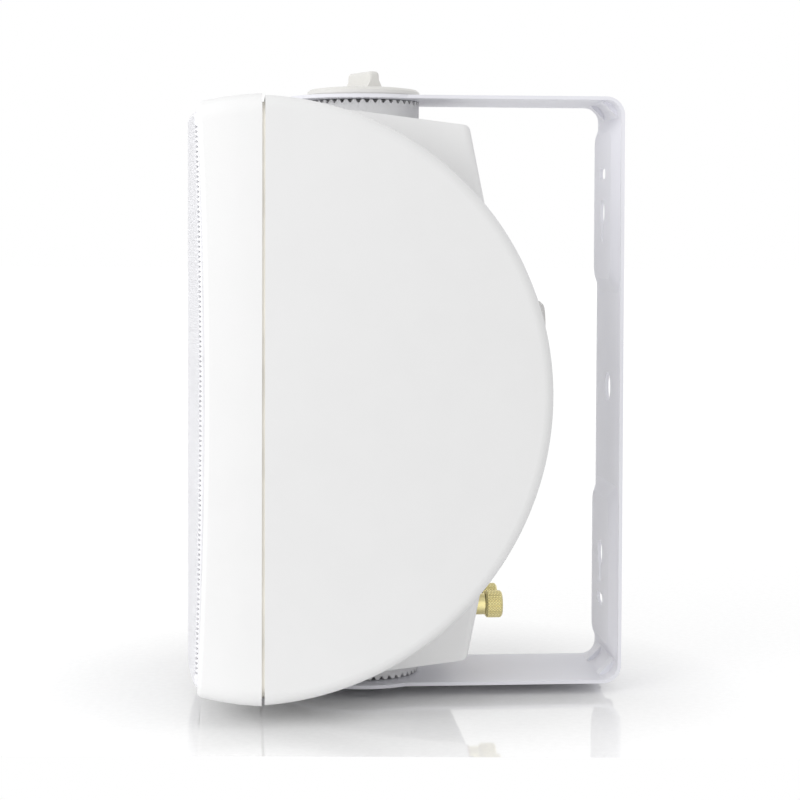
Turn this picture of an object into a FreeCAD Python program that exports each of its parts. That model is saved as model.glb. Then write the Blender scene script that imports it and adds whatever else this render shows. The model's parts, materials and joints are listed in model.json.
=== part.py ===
import FreeCAD, Part
import math
import os
import re
import Sketcher
from FreeCAD import Placement, Rotation, Vector

# A two-way wall speaker on a U-bracket. Millimetres, +Z up, the front faces -Y.
# The origin is the centre of the bracket's wall face. Speaker pieces are drawn
# about the vertical pivot axis and moved out from the wall by pivot_to_wall.

doc = FreeCAD.newDocument("wall_speaker")
sheet = doc.addObject("Spreadsheet::Sheet", "dims")

SIZES = [
    ("pivot_to_wall", 110.6, "pivot axis to the wall"),
    ("strip_width", 57.0, "bracket strip width"),
    ("steel", 1.5, "bracket sheet thickness"),
    ("arm_clear", 2.5, "bracket arm clear of the half-round back"),
    ("bend_radius", 6.5, "inner radius of the bracket bends"),
    ("end_radius", 33.2, "radius of the round arm ends"),
    ("arm_hole", 3.3, "radius of the pivot holes in the arms"),
    ("emboss_rise", 3.0, "height of the pressed pads in the back plate"),
    ("emboss_width", 52.0, "width of a pressed pad at its foot"),
    ("emboss_slope", 6.0, "width of a pad's sloping flank"),
    ("emboss_margin", 7.0, "outer end of a pad below the bracket arm"),
    ("emboss_end", 42.0, "inner end of a pad from the middle"),
    ("emboss_corner", 14.0, "corner radius of a pad"),
    ("gusset_leg", 6.5, "leg of a pressed gusset in a bend"),
    ("gusset_width", 6.0, "width of a pressed gusset"),
    ("gusset_place", 15.0, "gusset from the strip's middle"),
    ("slot_height", 94.2, "wall slot centre from the middle"),
    ("slot_length", 14.0, "wall slot length, end to end"),
    ("slot_width", 4.6, "wall slot width"),
    ("key_upper", 77.3, "upper keyhole head above the middle"),
    ("key_lower", 74.0, "lower keyhole head below the middle"),
    ("key_radius", 5.6, "keyhole head radius"),
    ("key_drop", 11.0, "keyhole slot end below its head"),
    ("wire_hole", 6.3, "radius of the middle hole in the plate"),
    ("cabinet_front", 44.0, "cabinet front edge ahead of the pivot"),
    ("seam_gap", 1.2, "open joint between cabinet and baffle"),
    ("arc_radius", 122.5, "radius of the half-round back"),
    ("arc_ahead", 2.9, "arc centre ahead of the cabinet front edge"),
    ("half_width", 82.0, "half the cabinet width at the joint"),
    ("taper_depth", 130.0, "depth over which the cheeks draw in"),
    ("taper_in", 21.4, "draw-in of each cheek over that depth"),
    ("cheek_fillet", 5.0, "rounding of the cheek's arc edge"),
    ("wall", 3.0, "moulded wall"),
    ("core_half", 40.0, "half width of the middle block"),
    ("core_top_in", 1.9, "block top below the half-round back, at the joint"),
    ("core_knee", 10.0, "block top's knee ahead of the pivot"),
    ("core_knee_fall", 1.2, "fall of the block top to its knee"),
    ("core_rear", 42.5, "block's rear corner behind the pivot"),
    ("core_rear_fall", 7.6, "fall of the block top to its rear corner"),
    ("core_rear_lean", 23.0, "run of the slanted rear face to the middle"),
    ("core_fillet", 3.5, "rounding of the block's rear edges"),
    ("core_rear_wall", 7.0, "wall of the block's rear face"),
    ("boss_radius", 24.3, "pivot boss radius"),
    ("pivot_gap", 0.3, "gap between a pivot boss and its arm"),
    ("boss_height", 25.0, "pivot boss height below the bracket arm"),
    ("notch_count", 42, "notches round a pivot boss"),
    ("notch_width", 2.4, "notch width at its mouth"),
    ("notch_depth", 1.4, "notch depth"),
    ("notch_reach", 4.0, "notch length towards the axis"),
    ("housing_radius", 9.0, "insert housing radius"),
    ("insert_radius", 4.5, "brass insert radius"),
    ("insert_length", 14.0, "brass insert length"),
    ("stud_radius", 3.0, "clamp stud radius"),
    ("stud_length", 20.0, "clamp stud length below the knob"),
    ("thread_gap", 0.05, "radial gap of stud in insert"),
    ("knob_radius", 24.5, "clamp knob disc radius"),
    ("knob_disc", 3.2, "clamp knob disc thickness"),
    ("knob_dome", 0.9, "rise of the knob's domed top"),
    ("knob_edge", 3.0, "run of the knob's sloped edge"),
    ("wing_length", 20.0, "grip bar length"),
    ("wing_width", 5.0, "grip bar width at its top"),
    ("wing_foot", 8.4, "grip bar width at its foot"),
    ("wing_rise", 7.0, "grip bar height over the dome"),
    ("wing_turn", 26.0, "grip bar's turn from the X axis"),
    ("washer", 0.8, "knob washer thickness"),
    ("washer_radius", 12.0, "knob washer radius"),
    ("screw_head", 2.4, "pivot screw head thickness"),
    ("screw_head_radius", 9.0, "pivot screw head radius"),
    ("baffle_lip", 0.2, "baffle side proud of the cabinet side"),
    ("baffle_over", 0.8, "baffle top over the half-round back"),
    ("baffle_depth", 26.0, "baffle side depth"),
    ("baffle_mid", 14.0, "depth of the baffle's middle section"),
    ("baffle_mid_in", 1.3, "draw-in at the middle section"),
    ("baffle_front_in", 3.6, "draw-in at the front edge"),
    ("baffle_edge", 2.4, "rounding of the baffle's front edge"),
    ("corner_radius", 7.5, "corner radius of the baffle outline"),
    ("baffle_plate", 4.0, "plate that carries the drivers"),
    ("bow", 3.2, "hollow of the baffle's side edges at mid height"),
    ("grille_gap", 0.3, "gap between grille and baffle"),
    ("grille_sheet", 0.8, "grille sheet"),
    ("grille_proud", 5.1, "grille front ahead of the baffle"),
    ("grille_bow_mid", 7.4, "grille bow at mid height"),
    ("grille_bow_end", 3.6, "grille bow at its ends"),
    ("grille_flange", 9.0, "depth of the grille's turned edge"),
    ("grille_roll", 2.2, "outer radius of the grille's edge roll"),
    ("cloth_gap", 0.2, "gap between grille and cloth"),
    ("cloth", 0.6, "cloth thickness"),
    ("gasket_inset", 0.7, "gasket recess below the outer faces"),
    ("gasket_width", 3.0, "gasket width"),
    ("column_radius", 4.5, "screw column radius"),
    ("column_length", 26.0, "screw column length"),
    ("column_side", 10.5, "screw column in from the cabinet side"),
    ("column_end", 15.5, "screw column in from the half-round back"),
    ("pilot_radius", 1.5, "screw radius in the columns"),
    ("pilot_depth", 18.0, "screw length below its head"),
    ("screw_cap_radius", 3.2, "small screw head radius"),
    ("screw_cap", 2.0, "small screw head height"),
    ("screw_gap", 0.1, "radial gap of screws in their holes"),
    ("woofer_drop", 38.0, "woofer axis below the middle"),
    ("woofer_radius", 67.0, "woofer frame radius"),
    ("woofer_hole", 58.5, "woofer cut-out radius"),
    ("woofer_screw_circle", 62.5, "woofer screw circle radius"),
    ("frame_flange", 2.5, "woofer frame flange"),
    ("frame_sheet", 1.2, "woofer frame sheet"),
    ("motor_depth", 42.0, "baffle face to the top plate"),
    ("top_plate", 5.0, "top plate thickness"),
    ("top_plate_radius", 36.0, "top plate and yoke radius"),
    ("magnet_radius", 40.0, "ferrite ring radius"),
    ("magnet_bore", 20.0, "ferrite ring bore radius"),
    ("magnet_height", 15.0, "ferrite ring height"),
    ("yoke_plate", 5.0, "yoke plate thickness"),
    ("pole_radius", 12.0, "pole radius"),
    ("coil_gap", 0.4, "running gap each side of the voice coil"),
    ("coil_wall", 0.8, "voice coil wall"),
    ("coil_length", 24.0, "voice coil and former length"),
    ("cone_rim", 50.0, "cone rim radius"),
    ("cone_sheet", 0.8, "cone and suspension sheet"),
    ("cone_top", 1.0, "cone rim below the frame face"),
    ("cone_neck", 25.0, "cone neck below the frame face"),
    ("roll_height", 4.5, "surround roll height"),
    ("cap_height", 7.0, "dust cap height"),
    ("spider_rim", 38.0, "spider rim radius"),
    ("tweeter_rise", 68.0, "tweeter axis above the middle"),
    ("tweeter_radius", 32.0, "tweeter plate radius"),
    ("tweeter_hole", 23.0, "tweeter cut-out radius"),
    ("tweeter_plate", 3.5, "tweeter plate thickness"),
    ("tweeter_screw_circle", 27.5, "tweeter screw circle radius"),
    ("dome_radius", 12.7, "tweeter dome radius"),
    ("dome_height", 5.0, "tweeter dome height"),
    ("horn_radius", 20.0, "tweeter horn mouth radius"),
    ("motor_radius", 21.0, "tweeter motor radius"),
    ("motor_height", 18.0, "tweeter motor height"),
    ("post_spacing", 19.0, "binding post spacing"),
    ("post_up", 18.2, "binding posts above the block's lower rear corner"),
    ("seat_behind", 0.7, "binding post seat behind the block's rear corner"),
    ("seat_half_width", 21.0, "half width of the seat's recess"),
    ("seat_half_height", 9.0, "half height of the seat's recess"),
    ("post_radius", 2.0, "binding post stud radius"),
    ("bush_radius", 5.0, "insulating bush radius"),
    ("bush_length", 5.6, "insulating bush length"),
    ("bush_neck", 3.2, "bush radius in the wall"),
    ("collar_radius", 4.6, "gold collar radius"),
    ("collar_length", 4.4, "gold collar length"),
    ("nut_radius", 5.9, "knurled nut radius"),
    ("nut_length", 7.6, "knurled nut length"),
    ("nut_count", 36, "flutes round a knurled nut"),
    ("post_inside", 10.0, "stud length inside the seat's face"),
    ("board_sheet", 1.6, "crossover board thickness"),
    ("board_width", 66.0, "crossover board width"),
    ("board_height", 44.0, "crossover board height"),
    ("lock_nut", 3.0, "lock nut thickness"),
    ("lock_nut_radius", 3.8, "lock nut radius"),
    ("choke_radius", 11.0, "crossover coil radius"),
    ("choke_bore", 5.0, "crossover coil bore radius"),
    ("choke_length", 13.0, "crossover coil length"),
    ("can_radius", 6.5, "capacitor radius"),
    ("can_length", 26.0, "capacitor length"),
    ("control_rise", 28.2, "level control axis above the middle"),
    ("pad_radius", 13.0, "level control pad radius"),
    ("pad_back", 1.4, "level control pad face ahead of the back"),
    ("pad_depth", 12.4, "level control pad depth"),
    ("shaft_radius", 3.0, "level control shaft radius"),
    ("shaft_gap", 0.05, "radial gap of shaft in its hole"),
    ("control_radius", 11.0, "level control body radius"),
    ("control_depth", 14.0, "level control body depth"),
    ("control_knob", 10.4, "level knob radius"),
    ("control_knob_height", 5.3, "level knob height"),
    ("knob_lift", 0.3, "gap under a turning knob"),
    ("frame_mouth", 57.0, "woofer frame mouth radius"),
    ("frame_step", 6.0, "depth of the frame's straight mouth"),
    ("frame_eye", 20.0, "hole in the frame's back, radius"),
    ("spider_level", -30.0, "spider seat, from the baffle face"),
    ("spider_wave", 1.6, "height of the spider's folds"),
    ("window_width", 24.0, "width of the frame's windows"),
    ("window_height", 18.0, "height of the frame's windows"),
    ("window_foot", 28.0, "foot of the windows behind the baffle face"),
    ("roll_lap", 1.5, "glued lap of the suspensions"),
    ("cap_radius", 20.0, "dust cap radius"),
    ("horn_throat", 14.5, "tweeter horn throat radius"),
    ("motor_plate", 3.0, "depth of the tweeter motor's face recess"),
    ("post_wall", 6.0, "wall under the binding posts"),
    ("nut_rim", 0.8, "bevel of a knurled nut"),
    ("flute_radius", 0.32, "flute radius of a knurled nut"),
    ("board_clear", 6.0, "board edge clear of the block's lower wall"),
    ("pointer_width", 1.6, "pointer groove width"),
    ("knob_cover", 2.8, "stud depth in the clamp knob"),
    ("wing_soft", 1.7, "rounding of the grip bar"),
    ("socket_radius", 2.6, "drive socket radius of the pivot screw"),
]

ALIASES = set()
for row, (alias, value, meaning) in enumerate(SIZES, 1):
    sheet.set("A%d" % row, meaning)
    sheet.set("B%d" % row, str(value))
    sheet.setAlias("B%d" % row, alias)
    ALIASES.add(alias)
doc.recompute()


def size(alias):
    """The number a sheet cell holds."""
    return float(sheet.get(alias))


# Half sizes and faces that several pieces share, each a formula of the sizes above.
SHARED = {
    "bracket_gap": "2*arc_radius + 2*arm_clear",
    "emboss_top": "bracket_gap/2 - emboss_margin",
    "core_front_top": "arc_radius - core_top_in",
    "core_knee_top": "core_front_top - core_knee_fall",
    "core_rear_top": "core_front_top - core_rear_fall",
    "boss_foot": "bracket_gap/2 - boss_height",
    "baffle_half_width": "half_width + baffle_lip",
    "baffle_half_height": "arc_radius + baffle_over",
    "grille_front": "cabinet_front + seam_gap + baffle_depth + grille_proud",
    "column_x": "half_width - column_side",
    "column_z": "arc_radius - column_end",
    "post_drop": "core_rear_top - post_up",
    "post_seat": "core_rear + seat_behind",
    "pad_face": "arc_radius - arc_ahead - cabinet_front - pad_back",
    "pad_foot": "pad_face - pad_depth",
    "board_foot": "core_rear_top - wall - board_clear",
}


def link(text):
    """A formula of size names, as an expression on the sheet's cells."""
    def cell(found):
        name = found.group()
        if name in SHARED:
            return "(%s)" % link(SHARED[name])
        return "dims." + name if name in ALIASES else name

    return re.sub(r"[a-z_]+", cell, text)


def bind(obj, **formulas):
    """Tie an object's properties to the sheet; two underscores stand for a dot."""
    for name, text in formulas.items():
        obj.setExpression(name.replace("__", "."), link(text))
    return obj


def at(obj, x="0", y="0", z="0", turn=None):
    """Place an object by formulas in the speaker's frame, about the pivot axis."""
    if turn is not None:
        obj.Placement = Placement(Vector(0, 0, 0), turn)
    bind(obj, Placement__Base__x=x, Placement__Base__y="%s - pivot_to_wall" % y, Placement__Base__z=z)
    return obj


ALONG_X = Rotation(Vector(0, 1, 0), 90)
TO_FRONT = Rotation(Vector(1, 0, 0), 90)
TO_REAR = Rotation(Vector(1, 0, 0), -90)
UPSIDE_DOWN = Rotation(Vector(1, 0, 0), 180)


def cylinder(name, radius, height, turn=None, **place):
    obj = doc.addObject("Part::Cylinder", name)
    bind(obj, Radius=radius, Height=height)
    return at(obj, turn=turn, **place)


def box(name, dx, dy, dz, x, y, z):
    """A box by its size and its lowest corner."""
    obj = doc.addObject("Part::Box", name)
    bind(obj, Length=dx, Width=dy, Height=dz)
    return at(obj, x=x, y=y, z=z)


def frustum(name, near, far, y, depth):
    """A block along +Y from a near half size to a far half size, each (across, upright)."""
    obj = doc.addObject("Part::Wedge", name)
    bind(obj, Ymin="0", Ymax=depth, Xmin="-(%s)" % near[0], Xmax=near[0], Zmin="-(%s)" % near[1],
         Zmax=near[1],
         X2min="-(%s)" % far[0], X2max=far[0], Z2min="-(%s)" % far[1], Z2max=far[1])
    return at(obj, y=y)


def cut(name, base, *tools):
    tool = tools[0] if len(tools) == 1 else fuse(name + "_tools", *tools)
    obj = doc.addObject("Part::Cut", name)
    obj.Base = base
    obj.Tool = tool
    return obj


def fuse(name, *shapes):
    obj = doc.addObject("Part::MultiFuse", name)
    obj.Shapes = list(shapes)
    return obj


def common(name, *shapes):
    obj = doc.addObject("Part::MultiCommon", name)
    obj.Shapes = list(shapes)
    return obj


def group(name, *shapes):
    """Separate solids that share one node."""
    obj = doc.addObject("Part::Compound", name)
    obj.Links = list(shapes)
    return obj


def round_edges(name, base, radius, choose):
    """Fillet the edges of a base that a test picks."""
    doc.recompute()
    obj = doc.addObject("Part::Fillet", name)
    obj.Base = base
    obj.Edges = [(n, radius, radius) for n, edge in enumerate(base.Shape.Edges, 1) if choose(edge)]
    return obj


def polygon(sketch, corners):
    """Close a polygon whose corners are pinned to the sketch's origin by formulas."""
    count = len(corners)
    for n in range(count):
        here = 2 * math.pi * n / count
        there = 2 * math.pi * (n + 1) / count
        start = Vector(10 * math.cos(here), 10 * math.sin(here), 0)
        end = Vector(10 * math.cos(there), 10 * math.sin(there), 0)
        sketch.addGeometry(Part.LineSegment(start, end), False)
    for n in range(count):
        sketch.addConstraint(Sketcher.Constraint("Coincident", n, 2, (n + 1) % count, 1))
    for n, (across, up) in enumerate(corners):
        spot = sketch.Geometry[n].StartPoint
        for kind, text, start in (("DistanceX", across, spot.x), ("DistanceY", up, spot.y)):
            index = sketch.addConstraint(Sketcher.Constraint(kind, -1, 1, n, 1, start))
            sketch.setExpression("Constraints[%d]" % index, link(text))


def body_sketch(body, name, role):
    """A sketch on one of a body's own origin planes."""
    plane = [feature for feature in body.Origin.OriginFeatures if feature.Role == role][0]
    sketch = body.newObject("Sketcher::SketchObject", name)
    sketch.AttachmentSupport = [(plane, "")]
    sketch.MapMode = "FlatFace"
    return sketch


def origin_axis(body, role):
    return [feature for feature in body.Origin.OriginFeatures if feature.Role == role][0]


def turned(name, profile, turn=TO_FRONT, **place):
    """A turned piece: a profile of (radius, height) corners spun about its own axis."""
    body = doc.addObject("PartDesign::Body", name)
    sketch = body_sketch(body, name + "_profile", "XZ_Plane")
    polygon(sketch, profile)
    spin = body.newObject("PartDesign::Revolution", name + "_spin")
    spin.Profile = sketch
    spin.ReferenceAxis = (sketch, ["V_Axis"])
    spin.Angle = 360.0
    return at(body, turn=turn, **place)


def rounded_frame(name, half_width, half_height, radius, y):
    """An upright rounded rectangle, as a sketch that faces the front."""
    sketch = doc.addObject("Sketcher::SketchObject", name)
    w, h, r = 60.0, 90.0, 8.0
    lines = [((-w + r, -h), (w - r, -h)), ((w, -h + r), (w, h - r)),
             ((w - r, h), (-w + r, h)), ((-w, h - r), (-w, -h + r))]
    for start, end in lines:
        sketch.addGeometry(Part.LineSegment(Vector(*start, 0), Vector(*end, 0)), False)
    middles = [(w - r, -h + r, -90), (w - r, h - r, 0), (-w + r, h - r, 90), (-w + r, -h + r, 180)]
    for x, z, start in middles:
        circle = Part.Circle(Vector(x, z, 0), Vector(0, 0, 1), r)
        arc = Part.ArcOfCircle(circle, math.radians(start), math.radians(start + 90))
        sketch.addGeometry(arc, False)
    for n in range(4):
        sketch.addConstraint(Sketcher.Constraint("Tangent", n, 2, 4 + n, 1))
        sketch.addConstraint(Sketcher.Constraint("Tangent", 4 + n, 2, (n + 1) % 4, 1))
    for n, kind in enumerate(("Horizontal", "Vertical", "Horizontal", "Vertical")):
        sketch.addConstraint(Sketcher.Constraint(kind, n))
    for n in range(1, 4):
        sketch.addConstraint(Sketcher.Constraint("Equal", 4, 4 + n))
    sketch.addConstraint(Sketcher.Constraint("Symmetric", 4, 3, 6, 3, -1, 1))
    drives = [("DistanceX", (-1, 1, 1, 1), w, half_width), ("DistanceY", (-1, 1, 2, 1), h, half_height)]
    for kind, points, start, text in drives:
        index = sketch.addConstraint(Sketcher.Constraint(kind, *points, start))
        sketch.setExpression("Constraints[%d]" % index, link(text))
    index = sketch.addConstraint(Sketcher.Constraint("Radius", 4, r))
    sketch.setExpression("Constraints[%d]" % index, link(radius))
    return at(sketch, y=y, turn=TO_FRONT)


def loft(name, *sections):
    obj = doc.addObject("Part::Loft", name)
    obj.Sections = list(sections)
    obj.Solid = True
    return obj


def extrude(name, sketch, length):
    """Draw a sketch out along its own normal."""
    obj = doc.addObject("Part::Extrusion", name)
    obj.Base = sketch
    obj.DirMode = "Normal"
    obj.Solid = True
    bind(obj, LengthFwd=length)
    return obj


def make_bracket():
    """One steel strip bent to a U, with round ends and two pressed pads in its back plate."""
    reach = "pivot_to_wall + end_radius"
    outer_height = "bracket_gap + 2*steel"
    outer = box("strip_outer", "2*end_radius", reach, outer_height, "-end_radius", "-end_radius",
                "-bracket_gap/2 - steel")
    inner = box("strip_inner", "2*end_radius", reach, "bracket_gap", "-end_radius", "-end_radius - steel",
                "-bracket_gap/2")

    def rear_corner(limit):
        def test(edge):
            ends = [vertex.Point for vertex in edge.Vertexes]
            return all(abs(end.y - limit) < 0.01 for end in ends) and abs(ends[0].x - ends[1].x) > 1
        return test

    bent_outer = round_edges("strip_outer_bends", outer, size("bend_radius") + size("steel"),
                             rear_corner(0))
    bent_inner = round_edges("strip_inner_bends", inner, size("bend_radius"), rear_corner(-size("steel")))
    strip = cut("strip", bent_outer, bent_inner)
    straight = box("strip_straight", "strip_width", "pivot_to_wall", outer_height, "-strip_width/2", "0",
                   "-bracket_gap/2 - steel")
    ends = cylinder("strip_ends", "end_radius", outer_height, z="-bracket_gap/2 - steel")
    blank = common("strip_blank", strip, fuse("strip_plan", straight, ends))
    def flank_corner(edge):
        return edge.BoundBox.YLength > size("emboss_rise") / 2

    foot = ("emboss_width/2", "(emboss_top - emboss_end)/2")
    crest = ("emboss_width/2 - emboss_slope", "(emboss_top - emboss_end)/2 - emboss_slope")
    raised = []
    hollows = []
    for side, sign in (("upper", ""), ("lower", "-")):
        height = "%s(emboss_top + emboss_end)/2" % sign
        pad = frustum("pad_" + side, crest, foot, "pivot_to_wall - steel - emboss_rise", "emboss_rise")
        bind(pad, Placement__Base__z=height)
        raised.append(round_edges("pad_soft_" + side, pad, size("emboss_corner"), flank_corner))
        hollow = frustum("pad_hollow_" + side, crest, foot, "pivot_to_wall - emboss_rise", "emboss_rise")
        bind(hollow, Placement__Base__z=height)
        hollows.append(round_edges("pad_hollow_soft_" + side, hollow, size("emboss_corner"), flank_corner))
        for place in ("gusset_place", "-gusset_place"):
            name = "gusset_%s_%d" % (side, len(raised))
            raised.append(gusset(name, sign, place, "steel", "0", "gusset_width"))
            hollows.append(gusset(name + "_dent", sign, place, "0", "steel", "gusset_width - 2*steel"))
    holes = [cylinder("pivot_holes", "arm_hole", "bracket_gap + 4*steel", z="-bracket_gap/2 - 2*steel")]
    holes.append(through_hole("wire_way", "wire_hole", "0", "0"))
    for side, sign, key in (("upper", "", "key_upper"), ("lower", "-", "-key_lower")):
        level = "%sslot_height" % sign
        half = "slot_length/2 - slot_width/2"
        holes.append(plate_slot("wall_slot_" + side, half, "slot_width/2", level))
        holes.append(through_hole("key_head_" + side, "key_radius", "0", key))
        holes.append(through_hole("key_end_" + side, "slot_width/2", "0", "%s - key_drop" % key))
        holes.append(box("key_slot_" + side, "slot_width", "4*steel + emboss_rise", "key_drop",
                         "-slot_width/2",
                         "pivot_to_wall - emboss_rise - 3*steel", "%s - key_drop" % key))
    pressed = cut("strip_pressed", fuse("strip_raised", blank, *raised), *hollows)
    return cut("bracket", pressed, *holes)


def gusset(name, sign, x, back, over, width):
    """A three-cornered rib across a bend, from the plate to the arm."""
    body = doc.addObject("PartDesign::Body", name)
    sketch = body_sketch(body, name + "_side", "YZ_Plane")
    plate = "(pivot_to_wall - %s)" % back
    arm = "(bracket_gap/2 + %s)" % over
    polygon(sketch, [(plate, "%s%s" % (sign, arm)), (plate + " - gusset_leg", "%s%s" % (sign, arm)),
                     (plate, "%s(%s - gusset_leg)" % (sign, arm))])
    pad = body.newObject("PartDesign::Pad", name + "_pad")
    pad.Profile = sketch
    pad.Midplane = True
    bind(pad, Length=width)
    doc.recompute()
    return at(body, x=x)


def through_hole(name, radius, x, z):
    """A round hole through the bracket's back plate."""
    return cylinder(name, radius, "4*steel + emboss_rise", turn=TO_REAR, x=x,
                    y="pivot_to_wall - emboss_rise - 3*steel", z=z)


def plate_slot(name, half, radius, z):
    """A level slot through the back plate, as two holes and the web between them."""
    left = through_hole(name + "_left", radius, "-(%s)" % half, z)
    right = through_hole(name + "_right", radius, half, z)
    web = box(name + "_web", "2*(%s)" % half, "4*steel + emboss_rise", "2*(%s)" % radius, "-(%s)" % half,
              "pivot_to_wall - emboss_rise - 3*steel", "%s - %s" % (z, radius))
    return fuse(name, left, web, right)


def half_round(name, inset, front, fillet):
    """The half-round back with cheeks that draw in, inset by a wall and opened ahead by front."""
    drum = cylinder(name + "_drum", "arc_radius - %s" % inset, "2*half_width", turn=ALONG_X,
                    x="-half_width",
                    y="-cabinet_front - arc_ahead")
    slope = "taper_in/taper_depth"
    near = ("half_width - %s + (%s)*%s" % (inset, front, slope), "2*arc_radius")
    far = ("half_width - %s - arc_radius*%s" % (inset, slope), "2*arc_radius")
    plan = frustum(name + "_plan", near, far, "-cabinet_front - (%s)" % front, "arc_radius + (%s)" % front)
    shape = common(name + "_shape", drum, plan)

    def arc_edge(edge):
        box_size = edge.BoundBox
        return box_size.ZLength > size("arc_radius") and box_size.YLength > size("arc_radius") / 2

    return round_edges(name, shape, fillet, arc_edge)


def core_block(name, inset, rear_inset):
    """The middle block: a sloped top and bottom and two slanted rear faces, drawn from the side."""
    body = doc.addObject("PartDesign::Body", name)
    sketch = body_sketch(body, name + "_side", "YZ_Plane")
    rear = "core_rear - %s" % rear_inset
    corners = []
    for sign in ("", "-"):
        corners.append([("-cabinet_front", "%s(core_front_top - %s)" % (sign, inset)),
                        ("-core_knee", "%s(core_knee_top - %s)" % (sign, inset)),
                        (rear, "%s(core_rear_top - %s)" % (sign, inset))])
    polygon(sketch, corners[0] + [("%s + core_rear_lean" % rear, "0")] + corners[1][::-1])
    pad = body.newObject("PartDesign::Pad", name + "_pad")
    pad.Profile = sketch
    pad.Midplane = True
    bind(pad, Length="2*(core_half - %s)" % inset)
    doc.recompute()
    return at(body)


def pivot_boss(name, turn):
    """A round pivot boss whose rim is notched all round."""
    body = doc.addObject("PartDesign::Body", name)
    circle = body_sketch(body, name + "_circle", "XY_Plane")
    circle.addGeometry(Part.Circle(Vector(0, 0, 0), Vector(0, 0, 1), 20), False)
    circle.addConstraint(Sketcher.Constraint("Coincident", 0, 3, -1, 1))
    index = circle.addConstraint(Sketcher.Constraint("Radius", 0, 20))
    circle.setExpression("Constraints[%d]" % index, link("boss_radius"))
    bind(circle, AttachmentOffset__Base__z="boss_foot")
    pad = body.newObject("PartDesign::Pad", name + "_pad")
    pad.Profile = circle
    bind(pad, Length="bracket_gap/2 - pivot_gap - boss_foot")
    doc.recompute()
    notch = body_sketch(body, name + "_notch", "YZ_Plane")
    top = "(bracket_gap/2 - pivot_gap)"
    polygon(notch, [("-notch_width/2", top), ("notch_width/2", top),
                    ("notch_width/6", "%s - notch_depth" % top),
                    ("-notch_width/6", "%s - notch_depth" % top)])
    bind(notch, AttachmentOffset__Base__z="boss_radius - notch_reach")
    pocket = body.newObject("PartDesign::Pocket", name + "_pocket")
    pocket.Profile = notch
    pocket.Reversed = True
    bind(pocket, Length="2*notch_reach")
    doc.recompute()
    ring = body.newObject("PartDesign::PolarPattern", name + "_ring")
    ring.Originals = [pocket]
    ring.Axis = (origin_axis(body, "Z_Axis"), [""])
    ring.Angle = 360.0
    bind(ring, Occurrences="notch_count")
    body.Tip = ring
    return at(body, turn=turn)


def column_places():
    """The screw columns: four at the corners and one halfway up each side."""
    return [(x, z) for x in ("-column_x", "column_x") for z in ("-column_z", "0", "column_z")]


def make_cabinet():
    """The rear cabinet: half-round back, middle block and notched pivot bosses in one moulding."""
    drum = half_round("cabinet_drum", "0", "0", size("cheek_fillet"))
    core = core_block("cabinet_core", "0", "0")

    def rear_edges(edge):
        middle = edge.CenterOfMass
        return middle.y > size("core_rear") - size("pivot_to_wall") - 0.5 and abs(middle.z) > 1

    core = round_edges("cabinet_core_soft", core, size("core_fillet"), rear_edges)
    bosses = [pivot_boss("boss_top", Rotation()), pivot_boss("boss_bottom", UPSIDE_DOWN)]
    pad = cylinder("control_pad", "pad_radius", "pad_depth", turn=TO_REAR, y="pad_foot", z="control_rise")
    outside = fuse("cabinet_outside", drum, core, pad, *bosses)
    cavity = half_round("cavity_drum", "wall", "seam_gap", size("cheek_fillet") - size("wall"))
    core_cavity = core_block("cavity_core", "wall", "core_rear_wall")
    shell = cut("cabinet_shell", outside, cavity, core_cavity)
    inner = []
    for n, (x, z) in enumerate(column_places()):
        inner.append(cylinder("column_%d" % n, "column_radius", "column_length + seam_gap", turn=TO_REAR,
                              x=x,
                              y="-cabinet_front - seam_gap", z=z))
    for side, foot in (("top", "boss_foot"), ("bottom", "wall - bracket_gap/2")):
        inner.append(cylinder("housing_" + side, "housing_radius", "bracket_gap/2 - boss_foot - wall",
                              z=foot))
    inner.append(cylinder("control_ring", "pad_radius - wall", "pad_depth", turn=TO_REAR, y="pad_foot",
                          z="control_rise"))
    holes = []
    for n, (x, z) in enumerate(column_places()):
        holes.append(cylinder("pilot_%d" % n, "pilot_radius + screw_gap", "pilot_depth + seam_gap",
                              turn=TO_REAR, x=x,
                              y="-cabinet_front - seam_gap", z=z))
    for side, foot in (("top", "boss_foot - wall"), ("bottom", "-bracket_gap/2")):
        holes.append(cylinder("insert_hole_" + side, "insert_radius", "bracket_gap/2 - boss_foot + wall",
                              z=foot))
    holes.append(box("post_recess", "2*seat_half_width", "pad_face - post_seat", "2*seat_half_height",
                     "-seat_half_width", "post_seat", "-post_drop - seat_half_height"))
    for n, x in enumerate(post_places()):
        holes.append(cylinder("post_hole_%d" % n, "bush_neck", "2*core_rear_wall", turn=TO_REAR, x=x,
                              y="post_seat - core_rear_wall - wall", z="-post_drop"))
    holes.append(cylinder("control_spot", "pad_radius", "pad_depth", turn=TO_REAR, y="pad_face",
                          z="control_rise"))
    holes.append(cylinder("control_hole", "shaft_radius + shaft_gap", "2*pad_depth", turn=TO_REAR,
                          y="pad_foot - wall", z="control_rise"))
    return cut("rear_cabinet", fuse("cabinet_filled", shell, *inner), *holes)


def post_places():
    return ("-post_spacing/2", "post_spacing/2")


FACE = "-cabinet_front - seam_gap"
PLATE_FACE = FACE + " - baffle_plate"


def baffle_form(name, inset):
    """The crowned outline of the baffle, inset by a wall, from the joint to its front edge."""
    sections = []
    for stage, ahead, draw_in in (("rear", "0", "0"), ("middle", "baffle_mid", "baffle_mid_in"),
                                  ("front", "baffle_depth", "baffle_front_in")):
        sections.append(rounded_frame("%s_%s" % (name, stage), "baffle_half_width - %s - %s" % (draw_in,
                                                                                                inset),
                                      "baffle_half_height - %s - %s" % (draw_in, inset),
                                      "corner_radius - %s" % inset, "%s - %s" % (FACE, ahead)))
    return loft(name, *sections)


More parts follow.
